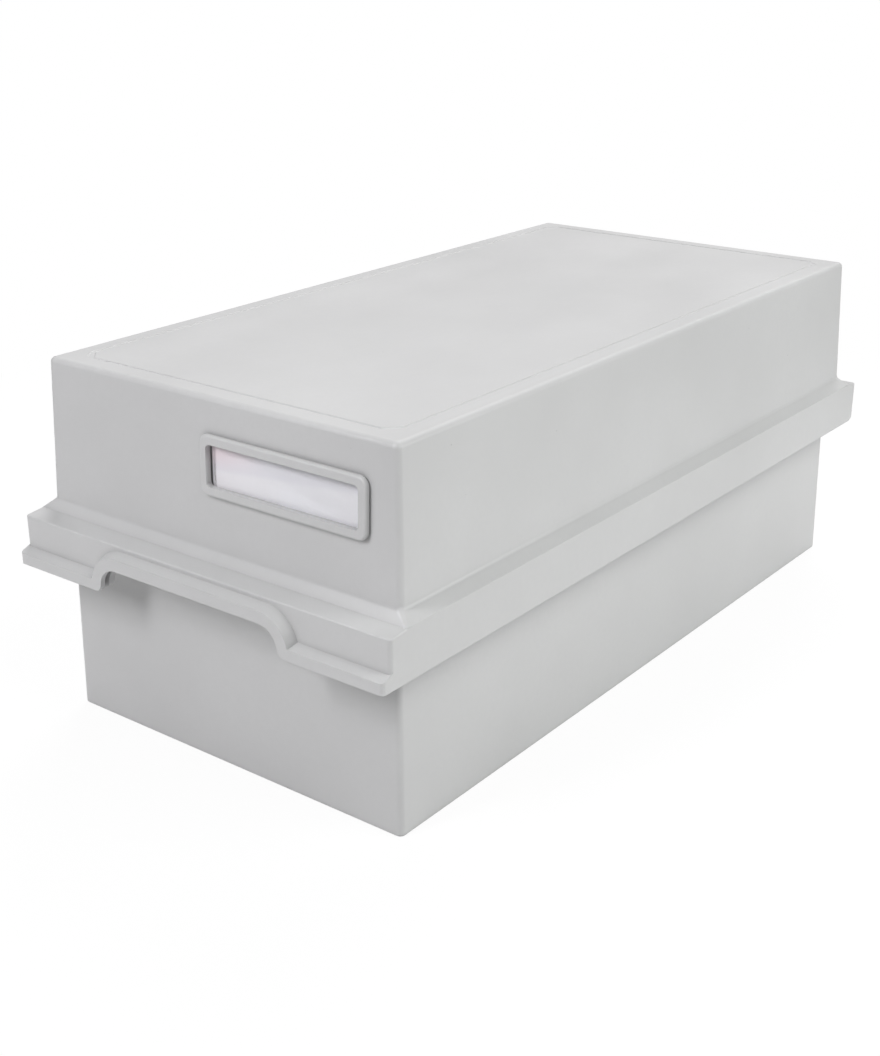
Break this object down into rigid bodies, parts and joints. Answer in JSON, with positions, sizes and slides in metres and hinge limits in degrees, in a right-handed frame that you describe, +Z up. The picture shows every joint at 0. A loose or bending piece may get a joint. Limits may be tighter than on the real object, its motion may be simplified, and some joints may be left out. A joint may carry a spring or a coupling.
{
  "type": "index card box",
  "caption": "Long lidded box for landscape A6 index cards, with a deep hinged lid, an arched hand grip, a label holder and sliding card supports.",
  "frame": {"origin": "on the surface the box stands on, under the middle of its outline with the lid shut", "axes": "+X to the right seen from the front, +Y from the front (grip and label) to the back (hinge), +Z up"},
  "size_m": [0.1776, 0.358, 0.1424],
  "materials": {
    "tray_plastic": "fine satin, light warm grey polystyrene",
    "lid_plastic": "fine satin, light warm grey polystyrene",
    "frame_plastic": "fine satin, light grey polystyrene",
    "backing_plastic": "satin",
    "support_plastic": "satin",
    "clear_cover": "clear polystyrene sheet",
    "label_paper": "smooth card, faint lavender white",
    "hinge_steel": "bright zinc-plated steel",
    "rivet_steel": "bright zinc-plated steel"
  },
  "bodies": {
    "tray": {"lower_tray": "tray_plastic", "hinge_tray_leaf": "hinge_steel", "hinge_tray_rivets": "rivet_steel", "hinge_pin": "hinge_steel"},
    "lid": {"lid_shell": "lid_plastic", "hinge_lid_leaf": "hinge_steel", "hinge_lid_rivets": "rivet_steel", "label_frame": "frame_plastic", "label_window": "clear_cover", "label_card": "label_paper", "label_backing": "backing_plastic"},
    "front_support": {"front_support_foot": "support_plastic", "front_support_pin": "hinge_steel"},
    "front_plate": {"front_support_plate": "support_plastic"},
    "rear_support": {"rear_support_foot": "support_plastic", "rear_support_pin": "hinge_steel"},
    "rear_plate": {"rear_support_plate": "support_plastic"}
  },
  "joints": [
    {"name": "lid_hinge", "type": "hinge", "parent": "tray", "child": "lid", "pos_m": [0, 0.17405, 0.0693], "axis": [-1, 0, 0], "range_deg": [0, 105]},
    {"name": "front_support_slide", "type": "slide", "parent": "tray", "child": "front_support", "axis": [0, 1, 0], "range_m": [-0.004, 0.09]},
    {"name": "front_plate_tilt", "type": "hinge", "parent": "front_support", "child": "front_plate", "pos_m": [0, -0.12595, 0.015], "axis": [1, 0, 0], "range_deg": [0, 20]},
    {"name": "rear_support_slide", "type": "slide", "parent": "tray", "child": "rear_support", "axis": [0, 1, 0], "range_m": [-0.086, 0.036]},
    {"name": "rear_plate_tilt", "type": "hinge", "parent": "rear_support", "child": "rear_plate", "pos_m": [0, 0.09805, 0.015], "axis": [1, 0, 0], "range_deg": [0, 20]}
  ]
}
